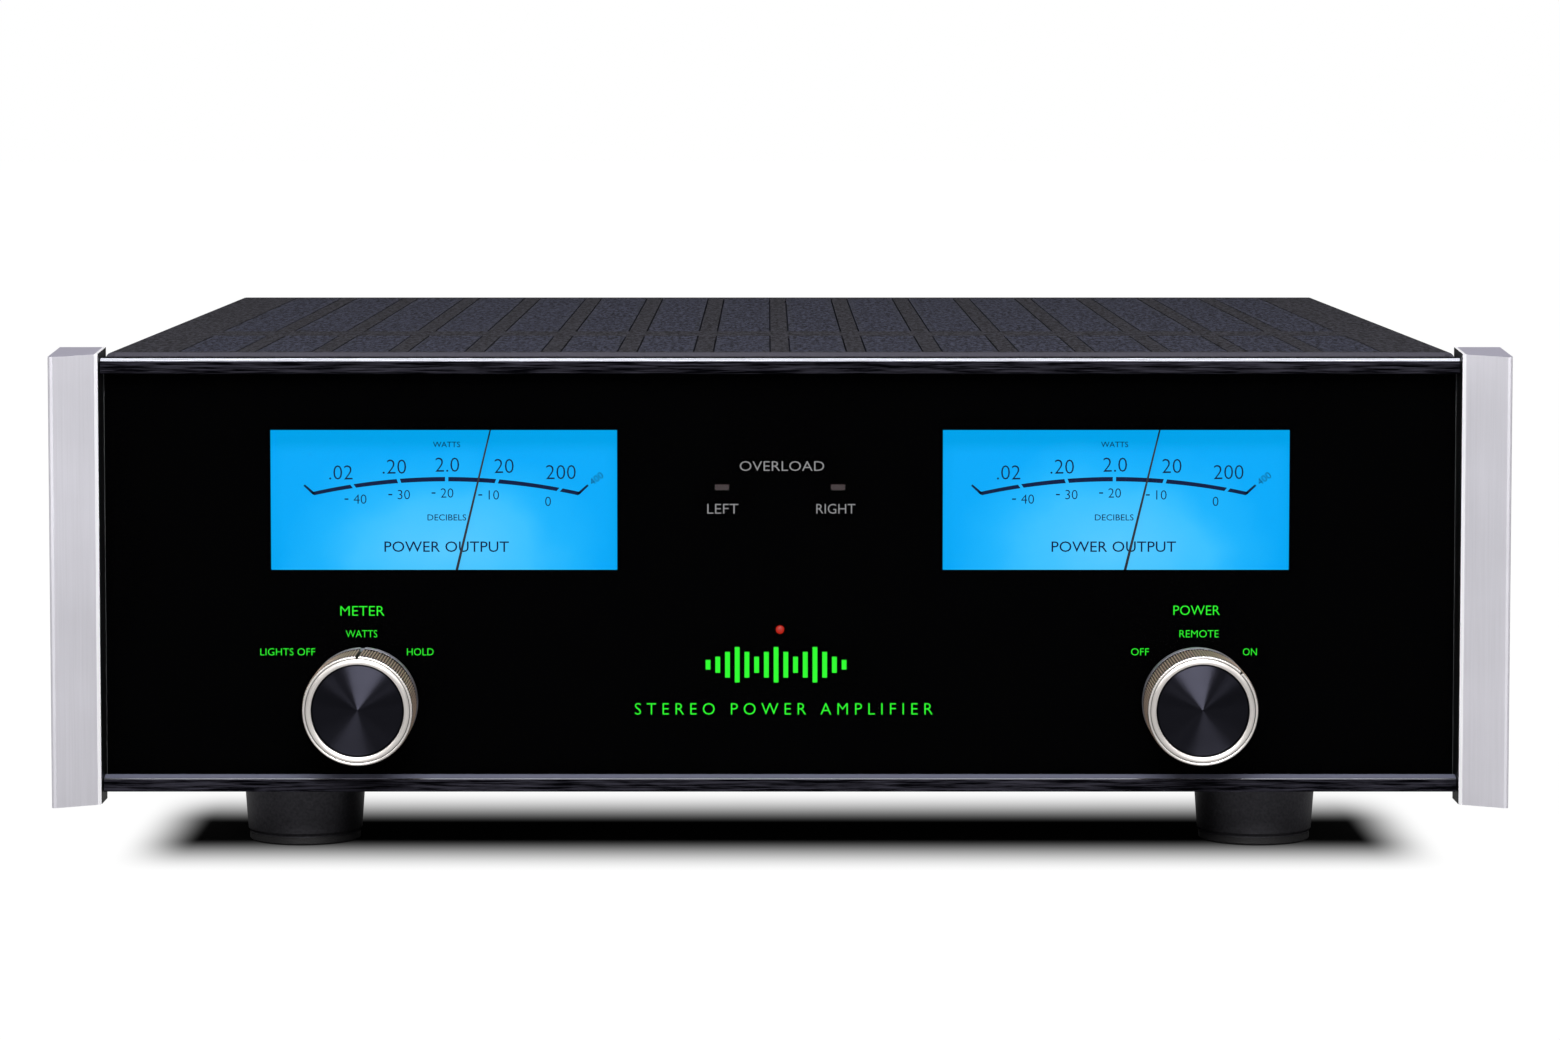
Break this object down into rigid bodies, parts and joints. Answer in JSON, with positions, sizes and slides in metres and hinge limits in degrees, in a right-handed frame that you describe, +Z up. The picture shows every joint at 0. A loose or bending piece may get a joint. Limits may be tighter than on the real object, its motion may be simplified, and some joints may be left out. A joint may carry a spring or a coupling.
{
  "type": "stereo power amplifier",
  "caption": "Low, wide stereo power amplifier with a black glass front between silver end caps, lit blue power meters, two rotary knobs and a vented top cover.",
  "frame": {"origin": "on the surface the feet stand on, under the middle of the whole unit", "axes": "+X to the right seen from the front, +Y to the rear, +Z up; the front faces -Y"},
  "size_m": [0.4444, 0.465, 0.1574],
  "materials": {
    "glass_panel": "clear, polished",
    "glass_mask": "matte black print",
    "rail_black": "brushed, black anodised, bright chamfers",
    "cap_silver": "satin anodised",
    "zinc_steel": "zinc plated",
    "case_white": "moulded, matte",
    "dial_blue": "translucent, lit from behind",
    "movement_steel": "satin",
    "pointer_dark": "painted dark",
    "board_green": "solder mask with parts",
    "knob_silver": "machined, satin",
    "knob_black": "spun, black anodised",
    "shaft_steel": "ground",
    "black_plastic": "moulded",
    "lamp_red": "translucent, lit",
    "chassis_grey": "satin paint",
    "cover_paint": "fine textured paint",
    "grille_paint": "fine textured paint",
    "screw_black": "black oxide",
    "foot_black": "moulded, semi gloss",
    "pad_rubber": "matte",
    "toroid_wrap": "wound tape over a steel core",
    "clamp_steel": "zinc plated",
    "sink_black": "black anodised",
    "can_blue": "sleeved",
    "socket_gold": "gold plated",
    "socket_dark": "black plated",
    "nut_black": "moulded",
    "nut_red": "moulded",
    "slider_white": "moulded",
    "wire_wrap": "taped bundle"
  },
  "bodies": {
    "amplifier": {"glass_panel": "glass_panel", "glass_mask": "glass_mask", "top_rail": "rail_black", "bottom_rail": "rail_black", "left_end_cap": "cap_silver", "right_end_cap": "cap_silver", "front_subpanel": "zinc_steel", "left_meter_case": "case_white", "right_meter_case": "case_white", "left_meter_dial": "dial_blue", "right_meter_dial": "dial_blue", "left_meter_movement": "movement_steel", "right_meter_movement": "movement_steel", "meter_lamps": "board_green", "rotary_switches": "black_plastic", "switch_nuts": "zinc_steel", "front_board": "board_green", "indicator_lamps": "lamp_red", "chassis_base": "chassis_grey", "top_cover": "cover_paint", "vent_grille": "grille_paint", "rear_panel": "cover_paint", "screws": "screw_black", "front_left_foot": "foot_black", "front_right_foot": "foot_black", "rear_left_foot": "foot_black", "rear_right_foot": "foot_black", "foot_pads": "pad_rubber", "transformer": "toroid_wrap", "transformer_clamp": "clamp_steel", "left_heat_sink": "sink_black", "right_heat_sink": "sink_black", "power_transistors": "black_plastic", "left_amp_board": "board_green", "right_amp_board": "board_green", "filter_capacitors": "can_blue", "supply_board": "board_green", "input_board": "board_green", "rca_sockets": "socket_gold", "xlr_sockets": "socket_dark", "control_sockets": "black_plastic", "speaker_posts": "socket_gold", "ac_inlet": "black_plastic", "fuse_holder": "black_plastic", "mode_switch": "black_plastic", "wiring_loom": "wire_wrap"},
    "left_knob": {"left_knob": "knob_silver", "left_knob_disc": "knob_black", "left_knob_shaft": "shaft_steel"},
    "right_knob": {"right_knob": "knob_silver", "right_knob_disc": "knob_black", "right_knob_shaft": "shaft_steel"},
    "left_pointer": {"left_pointer": "pointer_dark"},
    "right_pointer": {"right_pointer": "pointer_dark"},
    "left_minus_nut": {"left_minus_nut": "nut_black"},
    "left_plus_nut": {"left_plus_nut": "nut_red"},
    "right_minus_nut": {"right_minus_nut": "nut_black"},
    "right_plus_nut": {"right_plus_nut": "nut_red"},
    "fuse_cap": {"fuse_cap": "black_plastic"},
    "mode_slider": {"mode_slider": "slider_white"}
  },
  "joints": [
    {"name": "left_knob_turn", "type": "hinge", "parent": "amplifier", "child": "left_knob", "pos_m": [-0.1282, -0.2205, 0.0488], "axis": [0, 1, 0], "range_deg": [-45, 45]},
    {"name": "right_knob_turn", "type": "hinge", "parent": "amplifier", "child": "right_knob", "pos_m": [0.1282, -0.2205, 0.0488], "axis": [0, 1, 0], "range_deg": [-90, 0]},
    {"name": "left_pointer_swing", "type": "hinge", "parent": "amplifier", "child": "left_pointer", "pos_m": [-0.1035, -0.1885, 0.0741], "axis": [0, 1, 0], "range_deg": [-60.6, 33.4], "stiffness_Nm_per_rad": 0.0005},
    {"name": "right_pointer_swing", "type": "hinge", "parent": "amplifier", "child": "right_pointer", "pos_m": [0.1035, -0.1885, 0.0741], "axis": [0, 1, 0], "range_deg": [-60.6, 33.4], "stiffness_Nm_per_rad": 0.0005},
    {"name": "left_minus_nut_loosen", "type": "slide", "parent": "amplifier", "child": "left_minus_nut", "axis": [0, 1, 0], "range_m": [0, 0.006]},
    {"name": "left_plus_nut_loosen", "type": "slide", "parent": "amplifier", "child": "left_plus_nut", "axis": [0, 1, 0], "range_m": [0, 0.006]},
    {"name": "right_minus_nut_loosen", "type": "slide", "parent": "amplifier", "child": "right_minus_nut", "axis": [0, 1, 0], "range_m": [0, 0.006]},
    {"name": "right_plus_nut_loosen", "type": "slide", "parent": "amplifier", "child": "right_plus_nut", "axis": [0, 1, 0], "range_m": [0, 0.006]},
    {"name": "fuse_cap_draw", "type": "slide", "parent": "amplifier", "child": "fuse_cap", "axis": [0, 1, 0], "range_m": [0, 0.035]},
    {"name": "mode_slide", "type": "slide", "parent": "amplifier", "child": "mode_slider", "axis": [1, 0, 0], "range_m": [0, 0.006]}
  ]
}
